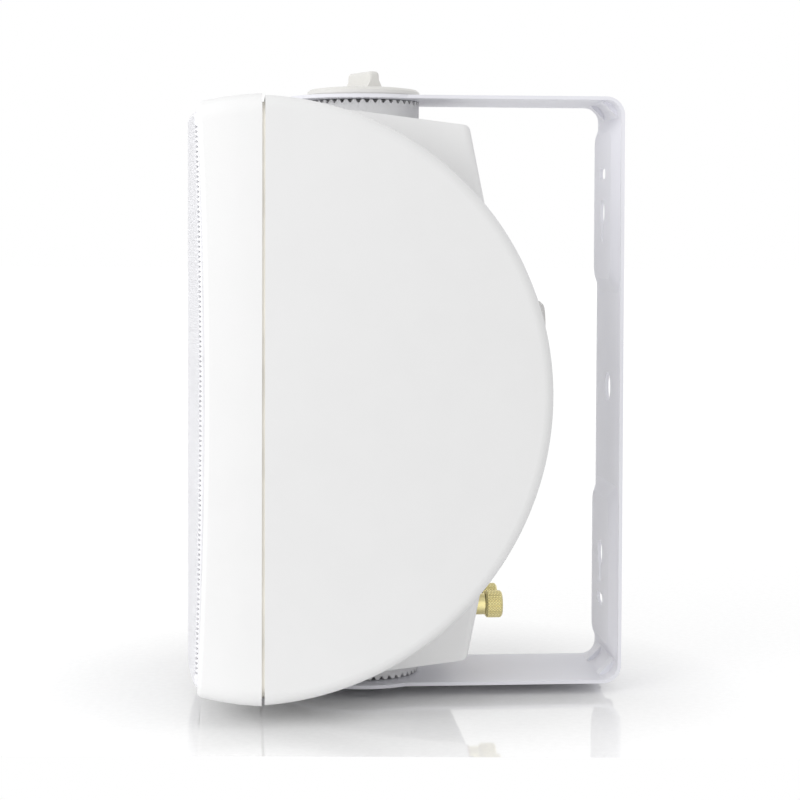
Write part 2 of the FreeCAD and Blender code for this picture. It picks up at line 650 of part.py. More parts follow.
def make_baffle():
    """The front baffle: a crowned skirt with hollow side edges and a plate that carries the drivers."""
    outside = baffle_form("baffle_outside", "0")
    inside = baffle_form("baffle_inside", "wall")
    plate = box("baffle_web", "2*baffle_half_width", "baffle_plate", "2*baffle_half_height",
                "-baffle_half_width",
                PLATE_FACE, "-baffle_half_height")
    chord = "(baffle_half_height - baffle_front_in)"
    radius = "(%s*%s/(2*bow) + bow/2)" % (chord, chord)
    hollow = cylinder("baffle_hollow", radius, "4*baffle_half_width", turn=ALONG_X,
                      x="-2*baffle_half_width",
                      y="%s - baffle_depth + bow - %s" % (FACE, radius))
    crown = cut("baffle_crown", outside, hollow)
    rim = size("bow") - size("cabinet_front") - size("seam_gap") - size("baffle_depth") - size("pivot_to_wall")

    def front_rim(edge):
        return edge.BoundBox.YMax < rim + size("baffle_edge")

    skirt = cut("baffle_skirt", round_edges("baffle_crown_soft", crown, size("baffle_edge"), front_rim),
                inside)
    solid = fuse("baffle_solid", skirt, common("baffle_floor", plate, outside))
    woofer = cylinder("woofer_cutout", "woofer_hole", "3*baffle_plate", turn=TO_FRONT,
                      y="%s + baffle_plate" % FACE,
                      z="-woofer_drop")
    tweeter = cylinder("tweeter_cutout", "tweeter_hole", "3*baffle_plate", turn=TO_FRONT,
                       y="%s + baffle_plate" % FACE, z="tweeter_rise")
    holes = [woofer, tweeter]
    for n, (x, z) in enumerate(screw_places()):
        holes.append(cylinder("baffle_hole_%d" % n, "pilot_radius + screw_gap", "3*baffle_plate",
                              turn=TO_FRONT, x=x,
                              y="%s + baffle_plate" % FACE, z=z))
    return cut("front_baffle", solid, *holes)


def circle_places(circle, centre, count, start):
    """Screw places on a circle about a driver's axis."""
    places = []
    for n in range(count):
        angle = start + 360.0 * n / count
        places.append(("%s*cos(%g)" % (circle, angle), "%s + %s*sin(%g)" % (centre, circle, angle)))
    return places


def woofer_screw_places():
    return circle_places("woofer_screw_circle", "-woofer_drop", 4, 45)


def tweeter_screw_places():
    return circle_places("tweeter_screw_circle", "tweeter_rise", 3, 90)


def screw_places():
    return column_places() + woofer_screw_places() + tweeter_screw_places()


def make_gasket():
    """The foam ring that closes the joint, set back from the outer faces."""
    outer = rounded_frame("gasket_outline", "half_width - gasket_inset", "core_front_top - gasket_inset",
                          "corner_radius - gasket_inset", FACE)
    inner = rounded_frame("gasket_opening", "half_width - gasket_inset - gasket_width",
                          "core_front_top - gasket_inset - gasket_width",
                          "corner_radius - gasket_inset - gasket_width", FACE)
    for sketch in (outer, inner):
        bind(sketch, Placement__Base__y="-cabinet_front - pivot_to_wall")
    return cut("seam_gasket", extrude("gasket_full", outer, "seam_gap"), extrude("gasket_void", inner,
                                                                                 "seam_gap"))


def bow_section(name, z, bow, inset):
    """One level section of the bowed front: an arc between the sides, closed behind."""
    sketch = doc.addObject("Sketcher::SketchObject", name)
    half = "baffle_half_width"
    front = "(-grille_front + %s)" % inset
    back = "(-cabinet_front)"
    w, f, b = 80.0, -70.0, -40.0
    radius = "(%s*%s/(2*%s) + %s/2)" % (half, half, bow, bow)
    sag = 7.0
    r = w * w / (2 * sag) + sag / 2
    spread = math.asin(w / r)
    circle = Part.Circle(Vector(0, f + r, 0), Vector(0, 0, 1), r)
    sketch.addGeometry(Part.ArcOfCircle(circle, -math.pi / 2 - spread, -math.pi / 2 + spread), False)
    sketch.addGeometry(Part.LineSegment(Vector(w, f + sag, 0), Vector(w, b, 0)), False)
    sketch.addGeometry(Part.LineSegment(Vector(w, b, 0), Vector(-w, b, 0)), False)
    sketch.addGeometry(Part.LineSegment(Vector(-w, b, 0), Vector(-w, f + sag, 0)), False)
    for first, second in ((0, 1), (1, 2), (2, 3)):
        sketch.addConstraint(Sketcher.Constraint("Coincident", first, 2, second, 1))
    sketch.addConstraint(Sketcher.Constraint("Coincident", 3, 2, 0, 1))
    sketch.addConstraint(Sketcher.Constraint("PointOnObject", 0, 3, -2))
    sketch.addConstraint(Sketcher.Constraint("Vertical", 1))
    sketch.addConstraint(Sketcher.Constraint("Vertical", 3))
    drives = [("DistanceX", (-1, 1, 1, 1), w, half), ("DistanceX", (-1, 1, 3, 1), -w, "-" + half),
              ("DistanceY", (-1, 1, 1, 2), b, back), ("DistanceY", (-1, 1, 2, 2), b, back),
              ("DistanceY", (-1, 1, 0, 3), f + r, "%s + %s" % (front, radius))]
    for kind, points, start, text in drives:
        index = sketch.addConstraint(Sketcher.Constraint(kind, *points, start))
        sketch.setExpression("Constraints[%d]" % index, link(text))
    index = sketch.addConstraint(Sketcher.Constraint("Radius", 0, r))
    sketch.setExpression("Constraints[%d]" % index, link(radius))
    return at(sketch, z=z)


def grille_form(name, inset, roll):
    """The pressed grille's form: its outline drawn out and met by the bowed front, with a rolled edge."""
    gap = "(baffle_front_in + wall + grille_gap + %s)" % inset
    outline = rounded_frame(name + "_outline", "baffle_half_width - %s" % gap,
                            "baffle_half_height - %s" % gap,
                            "corner_radius - wall - %s" % inset, "%s - baffle_depth + grille_flange" % FACE)
    block = extrude(name + "_block", outline, "3*grille_flange")
    reach = "1.2*baffle_half_height"
    front = loft(name + "_front", bow_section(name + "_low", "-" + reach, "grille_bow_end", inset),
                 bow_section(name + "_mid", "0", "grille_bow_mid", inset),
                 bow_section(name + "_high", reach, "grille_bow_end", inset))
    shape = common(name + "_shape", block, front)
    baffle_edge = size("cabinet_front") + size("seam_gap") + size("baffle_depth")
    flange_foot = size("grille_flange") / 2 - baffle_edge - size("pivot_to_wall")

    def front_edges(edge):
        return edge.BoundBox.YMax < flange_foot and edge.BoundBox.YLength < size("grille_bow_mid")

    return round_edges(name, shape, roll, front_edges)


def make_grille():
    """The grille: one pressed steel sheet, bowed across, with its edge rolled and turned back."""
    outside = grille_form("grille_outside", "0", size("grille_roll"))
    inside = grille_form("grille_inside", "grille_sheet", size("grille_roll") - size("grille_sheet"))
    cloth_face = "(grille_sheet + cloth_gap)"
    cloth_back = "(grille_sheet + cloth_gap + cloth)"
    soft = size("grille_roll") - size("grille_sheet") - size("cloth_gap")
    cloth = cut("grille_cloth", grille_form("cloth_outside", cloth_face, soft),
                grille_form("cloth_inside", cloth_back, soft - size("cloth")))
    return [cut("grille", outside, inside), cloth]


def small_screws(name, places, face):
    """A group of pan-head screws whose heads sit on a face of the front."""
    screws = []
    for n, (x, z) in enumerate(places):
        shank = cylinder("%s_shank_%d" % (name, n), "pilot_radius", "pilot_depth", turn=TO_REAR, x=x,
                         y=face, z=z)
        head = cylinder("%s_head_%d" % (name, n), "screw_cap_radius", "screw_cap", turn=TO_FRONT, x=x,
                        y=face, z=z)
        screws.append(fuse("%s_%d" % (name, n), shank, head))
    return group(name, *screws)


def make_woofer():
    """The woofer: pressed frame, cone on its two suspensions, and the ferrite motor."""
    place = {"y": PLATE_FACE, "z": "-woofer_drop"}
    plate = "-motor_depth"
    neck = "(pole_radius + coil_gap + coil_wall)"
    shell = turned("frame_shell", [
        ("woofer_radius", "0"), ("woofer_radius", "frame_flange"), ("frame_mouth", "frame_flange"),
        ("frame_mouth", "-frame_step"), ("spider_rim", "spider_level - frame_sheet"),
        ("top_plate_radius - frame_sheet", "spider_level - frame_sheet"),
        ("top_plate_radius - frame_sheet", "%s + frame_sheet" % plate),
        ("frame_eye", "%s + frame_sheet" % plate),
        ("frame_eye", plate), ("top_plate_radius", plate),
        ("top_plate_radius", "spider_level - 2*frame_sheet"),
        ("spider_rim + frame_sheet", "spider_level - 2*frame_sheet"),
        ("frame_mouth + frame_sheet", "-frame_step - frame_sheet"),
        ("frame_mouth + frame_sheet", "0")], **place)
    windows = []
    for n in range(3):
        pane = doc.addObject("Part::Box", "window_pane_%d" % n)
        bind(pane, Length="2*woofer_radius", Width="window_width", Height="window_height",
             Placement__Base__x="-woofer_radius", Placement__Base__y="-window_width/2")
        window = group("frame_window_%d" % n, pane)
        at(window, turn=TO_FRONT * Rotation(Vector(0, 0, 1), 60.0 * n), y="%s + window_foot" % PLATE_FACE,
           z="-woofer_drop")
        windows.append(window)
    holes = []
    for n, (x, z) in enumerate(woofer_screw_places()):
        holes.append(cylinder("frame_hole_%d" % n, "pilot_radius + screw_gap", "3*frame_flange",
                              turn=TO_FRONT, x=x,
                              y="%s + frame_flange" % PLATE_FACE, z=z))
    frame = cut("woofer_basket", shell, *windows, *holes)
    cone = turned("woofer_cone", [
        ("cone_rim", "-cone_top"), ("cone_rim", "-cone_top - cone_sheet"),
        (neck, "-cone_neck - cone_sheet"),
        (neck, "-cone_neck")], **place)
    roll = "(frame_mouth - cone_rim)"
    surround = turned("woofer_surround", [
        ("cone_rim - roll_lap", "-cone_top - roll_lap*(cone_neck - cone_top)/(cone_rim - %s)" % neck),
        ("cone_rim", "-cone_top"), ("cone_rim + %s*0.2" % roll, "roll_height*0.7"),
        ("cone_rim + %s*0.5" % roll, "roll_height"), ("cone_rim + %s*0.8" % roll, "roll_height*0.7"),
        ("frame_mouth - roll_lap", "frame_flange"), ("frame_mouth + roll_lap", "frame_flange"),
        ("frame_mouth + roll_lap", "frame_flange + cone_sheet"),
        ("frame_mouth - roll_lap/2", "frame_flange + cone_sheet"),
        ("cone_rim + %s*0.85" % roll, "roll_height*0.7 + cone_sheet"),
        ("cone_rim + %s*0.5" % roll, "roll_height + cone_sheet"),
        ("cone_rim + %s*0.15" % roll, "roll_height*0.7 + cone_sheet"),
        ("cone_rim - roll_lap", "cone_sheet - cone_top")], **place)
    cap_seat = "-cone_neck + (cap_radius - %s)*(cone_neck - cone_top)/(cone_rim - %s)" % (neck, neck)
    cap = turned("woofer_dust_cap", [
        ("cap_radius", cap_seat), ("cap_radius*0.8", "%s + cap_height*0.55" % cap_seat),
        ("cap_radius*0.45", "%s + cap_height*0.9" % cap_seat), ("0", "%s + cap_height" % cap_seat),
        ("0", "%s + cap_height - cone_sheet" % cap_seat),
        ("cap_radius*0.4", "%s + cap_height*0.88 - cone_sheet" % cap_seat),
        ("cap_radius*0.72", "%s + cap_height*0.5 - cone_sheet" % cap_seat),
        ("cap_radius - cone_sheet", cap_seat)], **place)
    coil = turned("voice_coil", [
        (neck, "-cone_neck"), ("pole_radius + coil_gap", "-cone_neck"),
        ("pole_radius + coil_gap", "-cone_neck - coil_length"),
        (neck, "-cone_neck - coil_length")], **place)
    fold = "((spider_rim - roll_lap - %s)/6)" % neck
    wave = [(neck, "spider_level")]
    for n in range(1, 6):
        wave.append(("%s + %d*%s" % (neck, n, fold), "spider_level + spider_wave*%d" % (n % 2)))
    wave.append(("spider_rim - frame_sheet", "spider_level - frame_sheet"))
    upper = [(x, "%s + cone_sheet" % z) for x, z in wave[::-1]]
    spider = turned("woofer_spider", wave + upper, **place)
    top = turned("woofer_top_plate", [
        ("%s + coil_gap" % neck, plate), ("top_plate_radius", plate),
        ("top_plate_radius", "%s - top_plate" % plate),
        ("%s + coil_gap" % neck, "%s - top_plate" % plate)], **place)
    ring = "%s - top_plate" % plate
    magnet = turned("woofer_magnet", [
        ("magnet_bore", ring), ("magnet_radius - 1", ring), ("magnet_radius", "%s - 1" % ring),
        ("magnet_radius", "%s - magnet_height + 1" % ring),
        ("magnet_radius - 1", "%s - magnet_height" % ring),
        ("magnet_bore", "%s - magnet_height" % ring)], **place)
    back = "%s - magnet_height" % ring
    yoke = turned("woofer_yoke", [
        ("0", plate), ("pole_radius", plate), ("pole_radius", back), ("top_plate_radius", back),
        ("top_plate_radius", "%s - yoke_plate" % back), ("0", "%s - yoke_plate" % back)], **place)
    screws = small_screws("woofer_screws", woofer_screw_places(), "%s - frame_flange" % PLATE_FACE)
    return [frame, cone, surround, cap, coil, spider, top, magnet, yoke, screws]


def make_tweeter():
    """The tweeter: a plate with a shallow horn, a soft dome and a closed motor behind."""
    place = {"y": PLATE_FACE, "z": "tweeter_rise"}
    disc = turned("tweeter_disc", [
        ("horn_throat", "0"), ("horn_throat", "tweeter_plate*0.4"), ("horn_radius", "tweeter_plate"),
        ("tweeter_radius - 1", "tweeter_plate"), ("tweeter_radius", "tweeter_plate - 1"),
        ("tweeter_radius", "0")],
        **place)
    holes = []
    for n, (x, z) in enumerate(tweeter_screw_places()):
        holes.append(cylinder("disc_hole_%d" % n, "pilot_radius + screw_gap", "3*tweeter_plate",
                              turn=TO_FRONT, x=x,
                              y="%s + tweeter_plate" % PLATE_FACE, z=z))
    plate = cut("tweeter_faceplate", disc, *holes)
    dome = turned("tweeter_dome", [
        ("horn_throat - grille_gap", "0"), ("horn_throat - grille_gap", "cone_sheet"),
        ("dome_radius", "cone_sheet"),
        ("dome_radius*0.8", "dome_height*0.6"), ("dome_radius*0.45", "dome_height*0.92"),
        ("0", "dome_height"),
        ("0", "dome_height - cone_sheet"), ("dome_radius*0.42", "dome_height*0.9 - cone_sheet"),
        ("dome_radius*0.74", "dome_height*0.55 - cone_sheet"), ("dome_radius - cone_sheet", "0")], **place)
    motor = turned("tweeter_magnet", [
        ("dome_radius - 2*cone_sheet", "-motor_plate"), ("dome_radius - 2*cone_sheet", "0"),
        ("motor_radius", "0"),
        ("motor_radius", "-motor_plate"), ("motor_radius", "-motor_height"), ("0", "-motor_height"),
        ("0", "-motor_plate")], **place)
    screws = small_screws("tweeter_screws", tweeter_screw_places(), "%s - tweeter_plate" % PLATE_FACE)
    return [plate, dome, motor, screws]


def make_posts():
    """Two binding posts in insulating bushes, with knurled nuts, and the lock nuts inside."""
    pieces = []
    locks = []
    for side, x in zip(("red", "black"), post_places()):
        place = {"x": x, "y": "post_seat", "z": "-post_drop", "turn": TO_REAR}
        neck = "-post_wall"
        pieces.append(turned("post_bush_" + side, [
            ("post_radius", neck), ("bush_neck", neck), ("bush_neck", "0"), ("bush_radius", "0"),
            ("bush_radius", "bush_length"), ("post_radius", "bush_length")], **place))
        collar = "bush_length + collar_length"
        tip = "%s + nut_length - nut_rim" % collar
        pieces.append(turned("post_stud_" + side, [
            ("0", "-post_inside"), ("post_radius", "-post_inside"), ("post_radius", "bush_length"),
            ("collar_radius", "bush_length"), ("collar_radius", collar), ("post_radius", collar),
            ("post_radius", tip),
            ("0", tip)], **place))
        pieces.append(knurled_nut(side, collar, place))
        lock = turned("lock_nut_" + side, [
            ("post_radius", neck), ("post_radius", "%s - lock_nut" % neck),
            ("lock_nut_radius", "%s - lock_nut" % neck),
            ("lock_nut_radius", neck)], **place)
        locks.append(lock)
    return pieces + [group("post_lock_nuts", *locks)]


def knurled_nut(side, foot, place):
    """A gold nut with flutes round its grip, turning on the post with a running gap."""
    blank = turned("nut_blank_" + side, [
        ("post_radius + thread_gap", "%s + knob_lift" % foot),
        ("nut_radius - nut_rim", "%s + knob_lift" % foot),
        ("nut_radius", "%s + knob_lift + nut_rim" % foot),
        ("nut_radius", "%s + nut_length - nut_rim" % foot),
        ("nut_radius - nut_rim", "%s + nut_length" % foot), ("0", "%s + nut_length" % foot),
        ("0", "%s + nut_length - nut_rim + knob_lift" % foot),
        ("post_radius + thread_gap", "%s + nut_length - nut_rim + knob_lift" % foot)], **place)
    body = blank
    sketch = body_sketch(body, "nut_flute_" + side, "XY_Plane")
    sketch.addGeometry(Part.Circle(Vector(6, 0, 0), Vector(0, 0, 1), 0.5), False)
    sketch.addConstraint(Sketcher.Constraint("PointOnObject", 0, 3, -1))
    index = sketch.addConstraint(Sketcher.Constraint("DistanceX", -1, 1, 0, 3, 6.0))
    sketch.setExpression("Constraints[%d]" % index, link("nut_radius + flute_radius/3"))
    index = sketch.addConstraint(Sketcher.Constraint("Radius", 0, 0.5))
    sketch.setExpression("Constraints[%d]" % index, link("flute_radius"))
    bind(sketch, AttachmentOffset__Base__z="%s + knob_lift + nut_rim" % foot)
    doc.recompute()
    pocket = body.newObject("PartDesign::Pocket", "nut_flute_cut_" + side)
    pocket.Profile = sketch
    pocket.Reversed = True
    bind(pocket, Length="nut_length")
    doc.recompute()
    ring = body.newObject("PartDesign::PolarPattern", "nut_flutes_" + side)
    ring.Originals = [pocket]
    ring.Axis = (origin_axis(body, "Z_Axis"), [""])
    ring.Angle = 360.0
    bind(ring, Occurrences="nut_count")
    body.Tip = ring
    body.Label = "post_nut_" + side
    return body


def make_crossover():
    """The crossover board, held on the posts by their lock nuts, with its coil, capacitor and resistor."""
    face = "(post_seat - post_wall - lock_nut)"
    level = "-board_foot"
    slab = box("board_slab", "board_width", "board_sheet", "board_height", "-board_width/2",
               "%s - board_sheet" % face,
               level)
    holes = []
    for n, x in enumerate(post_places()):
        holes.append(cylinder("board_hole_%d" % n, "post_radius + screw_gap", "3*board_sheet",
                              turn=TO_FRONT, x=x,
                              y="%s + board_sheet" % face, z="-post_drop"))
    board = cut("crossover_board", slab, *holes)
    front = "%s - board_sheet" % face
    coil = turned("crossover_coil", [
        ("choke_bore", "0"), ("choke_radius", "0"), ("choke_radius", "choke_length"),
        ("choke_bore", "choke_length")],
        x="-board_width/4", y=front, z="%s + board_height - choke_radius - wall" % level)
    can = cylinder("crossover_capacitor", "can_radius", "can_length", turn=ALONG_X, x="wall",
                   y="%s - can_radius" % front, z="%s + board_height - can_radius - wall" % level)
    bar = box("crossover_resistor", "can_length", "can_radius", "can_radius", "wall",
              "%s - can_radius" % front,
              "%s + board_height - 3*can_radius - 2*wall" % level)
    return [board, coil, can, bar]


def make_control():
    """The level control inside the back, its shaft, and the knob outside."""
    place = {"y": "pad_face", "z": "control_rise", "turn": TO_REAR}
    foot = "-pad_depth"
    body = turned("level_control", [
        ("0", "%s - control_depth" % foot), ("control_radius", "%s - control_depth" % foot),
        ("control_radius", foot),
        ("shaft_radius + shaft_gap", foot), ("shaft_radius + shaft_gap", "%s - control_depth/2" % foot),
        ("0", "%s - control_depth/2" % foot)], **place)
    shaft = turned("level_shaft", [
        ("0", "%s - control_depth/2 + knob_lift" % foot),
        ("shaft_radius", "%s - control_depth/2 + knob_lift" % foot),
        ("shaft_radius", "knob_lift + wall"), ("0", "knob_lift + wall")], **place)
    top = "knob_lift + control_knob_height"
    blank = turned("level_knob_blank", [
        ("shaft_radius", "knob_lift"), ("control_knob", "knob_lift"),
        ("control_knob - 0.6", "%s - 1.5" % top),
        ("control_knob - 2", top), ("0", top), ("0", "knob_lift + wall"),
        ("shaft_radius", "knob_lift + wall")], **place)
    mark = box("level_mark", "pointer_width", "pointer_width", "control_knob", "-pointer_width/2",
               "pad_face + %s - pointer_width/2" % top, "control_rise")
    return [body, shaft, cut("level_knob", blank, mark)]


def make_pivots():
    """The clamp knob over the upper arm, the screw under the lower arm, and their brass inserts."""
    arm = "bracket_gap/2 + steel"
    under = "%s + knob_lift" % arm
    disc = turned("knob_disc_body", [
        ("stud_radius", "washer"), ("washer_radius + knob_lift", "washer"),
        ("washer_radius + knob_lift", "0"),
        ("knob_radius - 1", "0"), ("knob_radius", "1"), ("knob_radius", "knob_disc - 1"),
        ("knob_radius - knob_edge*0.4", "knob_disc"),
        ("knob_radius - knob_edge*2", "knob_disc + knob_dome*0.7"),
        ("wing_length/4", "knob_disc + knob_dome"), ("0", "knob_disc + knob_dome"), ("0", "knob_cover"),
        ("stud_radius", "knob_cover")], turn=Rotation(), z=under)
    wing = doc.addObject("PartDesign::Body", "knob_wing")
    side = body_sketch(wing, "knob_wing_end", "YZ_Plane")
    foot = "knob_disc"
    polygon(side, [("-wing_foot/2", foot), ("wing_foot/2", foot), ("wing_width/2 + 0.4",
                                                                   "%s + wing_rise*0.35" % foot),
                   ("wing_width/2", "%s + knob_dome + wing_rise" % foot),
                   ("-wing_width/2", "%s + knob_dome + wing_rise" % foot),
                   ("-wing_width/2 - 0.4", "%s + wing_rise*0.35" % foot)])
    pad = wing.newObject("PartDesign::Pad", "knob_wing_pad")
    pad.Profile = side
    pad.Midplane = True
    bind(pad, Length="wing_length")
    doc.recompute()
    soft = wing.newObject("PartDesign::Fillet", "knob_wing_soft")
    high = size("knob_disc") + size("wing_rise") * 0.4
    names = []
    for n, edge in enumerate(pad.Shape.Edges, 1):
        if edge.CenterOfMass.z > high:
            names.append("Edge%d" % n)
    soft.Base = (pad, names)
    bind(soft, Radius="wing_soft")
    at(wing, turn=Rotation(Vector(0, 0, 1), size("wing_turn")), z=under)
    knob = fuse("clamp_knob", disc, wing)
    stud = cylinder("clamp_stud", "stud_radius", "stud_length + knob_cover", z="%s - stud_length" % under)
    washer = turned("knob_washer", [
        ("stud_radius + screw_gap", "0"), ("washer_radius", "0"), ("washer_radius", "washer"),
        ("stud_radius + screw_gap", "washer")], turn=Rotation(), z=arm)
    pieces = [knob, stud, washer]
    low = "-bracket_gap/2 - steel"
    seat = "%s - washer - knob_lift" % low
    shank = cylinder("pivot_shank", "stud_radius", "stud_length", z=seat)
    head = turned("pivot_head", [
        ("0", "0"), ("screw_head_radius", "0"), ("screw_head_radius", "screw_head - 1"),
        ("screw_head_radius - 2", "screw_head"), ("0", "screw_head")], turn=UPSIDE_DOWN, z=seat)
    slot = cylinder("pivot_socket", "socket_radius", "screw_head", z="%s - 2*screw_head + 1" % seat)
    pieces.append(cut("pivot_screw", fuse("pivot_blank", shank, head), slot))
    pieces.append(turned("pivot_washer", [
        ("stud_radius + screw_gap", "0"), ("washer_radius", "0"), ("washer_radius", "washer"),
        ("stud_radius + screw_gap", "washer")], turn=UPSIDE_DOWN, z=low))
    for side, turn in (("top", Rotation()), ("bottom", UPSIDE_DOWN)):
        pieces.append(turned("insert_" + side, [
            ("stud_radius + thread_gap", "bracket_gap/2 - insert_length"),
            ("insert_radius", "bracket_gap/2 - insert_length"),
            ("insert_radius", "bracket_gap/2 - knob_lift"),
            ("stud_radius + thread_gap", "bracket_gap/2 - knob_lift")],
            turn=turn))
    return pieces


def finish(solids):
    """Check every object and sub-part, then write each sub-part to its own file."""
    doc.recompute()
    for obj in doc.Objects:
        if "Invalid" in obj.State or "Error" in obj.State:
            raise RuntimeError("%s did not build: %s" % (obj.Name, obj.State))
    for obj in solids:
        if obj.Shape.isNull() or not obj.Shape.isValid() or not obj.Shape.Solids:
            raise RuntimeError("%s has no sound solid" % obj.Label)
    os.makedirs("parts", exist_ok=True)
    for obj in solids:
        obj.Shape.exportStep("parts/%s.step" % obj.Label)


body_pieces = [make_bracket(), make_cabinet(), make_baffle(), make_gasket()] + make_grille()
screws = small_screws("baffle_screws", column_places(), PLATE_FACE)
drivers = make_woofer() + make_tweeter()
rear_pieces = make_posts() + make_crossover() + make_control()
finish(body_pieces + [screws] + drivers + rear_pieces + make_pivots())
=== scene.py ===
"""Finishes, perforated grille and studio for a wall speaker on a U-bracket."""

import json
import math

import bpy
from bpy.props import FloatProperty, FloatVectorProperty, PointerProperty
from mathutils import Matrix, Vector


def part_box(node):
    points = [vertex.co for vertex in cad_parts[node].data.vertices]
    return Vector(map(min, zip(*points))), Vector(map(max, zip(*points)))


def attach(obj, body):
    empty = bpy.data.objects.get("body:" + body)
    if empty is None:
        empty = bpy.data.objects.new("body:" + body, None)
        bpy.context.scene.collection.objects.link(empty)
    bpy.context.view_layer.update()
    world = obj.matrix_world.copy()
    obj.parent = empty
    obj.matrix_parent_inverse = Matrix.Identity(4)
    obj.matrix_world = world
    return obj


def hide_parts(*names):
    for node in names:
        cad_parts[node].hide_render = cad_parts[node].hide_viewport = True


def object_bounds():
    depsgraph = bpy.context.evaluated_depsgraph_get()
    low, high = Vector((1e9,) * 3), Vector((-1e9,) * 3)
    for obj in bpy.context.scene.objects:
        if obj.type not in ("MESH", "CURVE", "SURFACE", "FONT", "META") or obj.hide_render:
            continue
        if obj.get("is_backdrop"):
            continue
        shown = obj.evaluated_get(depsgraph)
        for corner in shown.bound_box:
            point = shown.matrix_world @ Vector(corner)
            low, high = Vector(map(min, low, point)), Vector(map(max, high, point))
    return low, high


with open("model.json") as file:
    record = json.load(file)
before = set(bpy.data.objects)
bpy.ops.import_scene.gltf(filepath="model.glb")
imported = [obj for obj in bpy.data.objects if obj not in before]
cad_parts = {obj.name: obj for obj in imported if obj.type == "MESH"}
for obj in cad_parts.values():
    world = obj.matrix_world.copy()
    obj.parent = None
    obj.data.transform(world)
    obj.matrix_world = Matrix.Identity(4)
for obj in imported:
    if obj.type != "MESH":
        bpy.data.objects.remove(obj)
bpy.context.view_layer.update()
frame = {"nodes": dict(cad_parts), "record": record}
NODES = frame["nodes"]
SLOT_OF = {piece["node"]: piece["material_slot"] for piece in frame["record"]["subparts"]}
MM = 0.001

# A wave texture of scale one repeats about every 0.314 of its coordinate.
WAVE_STEP = 0.314
GRAINS_IN_CLOUD = 40
CLOUD_LOW = 0.35
CLOUD_HIGH = 0.65

# The binding post nut's grip: its way round, the radius that its grooves start from, and their pitch, which is
# drawn a little coarser than a real knurl so that it shows.
GRIP_ROUND_MM = 37
GRIP_FOOT_MM = 5.4
KNURL_PITCH_MM = 1.3

# The flat grille sheet starts well ahead of the form and stays just inside its outline.
SHEET_AHEAD = 0.25
OUTLINE_IN = 0.12 * MM
CORNER_CHORDS = (18, 36, 54, 72)
SMOOTH_ANGLE = math.radians(30)

# The photograph's camera: pixels for the picture and the lens, degrees for its turns, metres for its place.
PHOTO_WIDTH = 800
PHOTO_FOCAL = 2033.0
SENSOR_WIDTH = 36.0
VIEW_YAW = math.radians(4.6315)
VIEW_PITCH = math.radians(-1.9794)
VIEW_ROLL = math.radians(0.2)
VIEW_RISE = -0.1152
VIEW_PLACE = Vector((0.89127, -0.1664, 0.0658))

# The floor sheet ends in front of the speaker, where the mirror image stops.
FLOOR_SIZE = 12
FLOOR_FRONT = 0.128
FLOOR_MIDDLE = -0.12
FLOOR_GAP = 0.001

# Painted shadow: the floor's camera-only glow is held back near the speaker's foot and grows over these
# distances to its full lift, so a darker ring is painted round the foot on top of the cast shadow, and the floor
# is white further away.
SHADOW_NEAR = 0.1
SHADOW_FAR = 0.17
FLOOR_LIFT = 0.12

# The strength of the even light from all round.
AMBIENT = 0.74

# Each lamp's place, width and watts.
LAMPS = {
    "key_lamp": ((0.55, -0.6, 0.15), 0.5, 1.7),
    "front_lamp": ((0.5, -2.2, 0.4), 1.4, 6),
    "top_lamp": ((0.1, -0.1, 2.0), 1.2, 4),
}

bl_info = {
    "name": "Wall Speaker Finishes",
    "version": (1, 0, 0),
    "blender": (4, 5, 0),
    "location": "View3D > Sidebar > Speaker",
    "description": "Perforated grille, finishes and studio for the wall speaker",
    "category": "Object",
}


def linear(code):
    """A hex sRGB colour as linear red, green and blue."""
    parts = [int(code[n:n + 2], 16) / 255 for n in (0, 2, 4)]
    return tuple(c / 12.92 if c <= 0.04045 else ((c + 0.055) / 1.055) ** 2.4 for c in parts)


def length(name, words, default):
    """A size that the panel shows."""
    return FloatProperty(name=name, description=words, default=default, min=0.0, unit="LENGTH")


def colour(name, words, code):
    """A colour that the panel shows."""
    return FloatVectorProperty(
        name=name, description=words, default=linear(code), subtype="COLOR", min=0.0, max=1.0)


class SpeakerSizes(bpy.types.PropertyGroup):
    hole_pitch: length("Hole pitch", "Distance between neighbouring holes of the grille", 1.995 * MM)
    hole_width: length("Hole width", "Width of a grille hole across its flats", 1.25 * MM)
    sheet: length("Sheet", "Thickness of the grille sheet", 0.8 * MM)
    margin: length("Plain margin", "Unpierced strip along the grille's sides", 0.2 * MM)
    end_margin: length("Plain ends", "Unpierced strip at the grille's top and bottom", 1.2 * MM)
    corner: length("Corner radius", "Corner radius of the grille's outline", 4.5 * MM)
    flange: length("Turned edge", "Depth of the grille's turned edge behind its roll", 3.0 * MM)


class SpeakerColours(bpy.types.PropertyGroup):
    moulding: colour("Moulding", "White ABS of cabinet and baffle", "F0F0F0")
    bracket: colour("Bracket", "White powder coat of the bracket", "EFEFF5")
    grille: colour("Grille", "White powder coat of the grille", "F3F3F6")
    knob: colour("Knobs", "Warm white of the knobs", "E4E3DF")
    gasket: colour("Gasket", "Foam in the joint", "F8F4EA")
    gold: colour("Gold", "Gold plate of the binding posts", "FFF2B2")


def feed(target, inputs):
    """Set a node's inputs: each is a value or a (node, output) pair to link from."""
    for name, value in inputs.items():
        if isinstance(value, tuple) and isinstance(value[0], bpy.types.Node):
            target.id_data.links.new(value[0].outputs[value[1]], target.inputs[name])
        else:
            target.inputs[name].default_value = value


def node(tree, kind, inputs, stops=(), **settings):
    """Add a shader node with its settings, its inputs and, on a colour ramp, its two (place, colour) stops."""
    made = tree.nodes.new(kind)
    for name, value in settings.items():
        setattr(made, name, value)
    for number, (place, rgb) in enumerate(stops):
        made.color_ramp.elements[number].position = place
        made.color_ramp.elements[number].color = (*rgb, 1)
    feed(made, inputs)
    return made


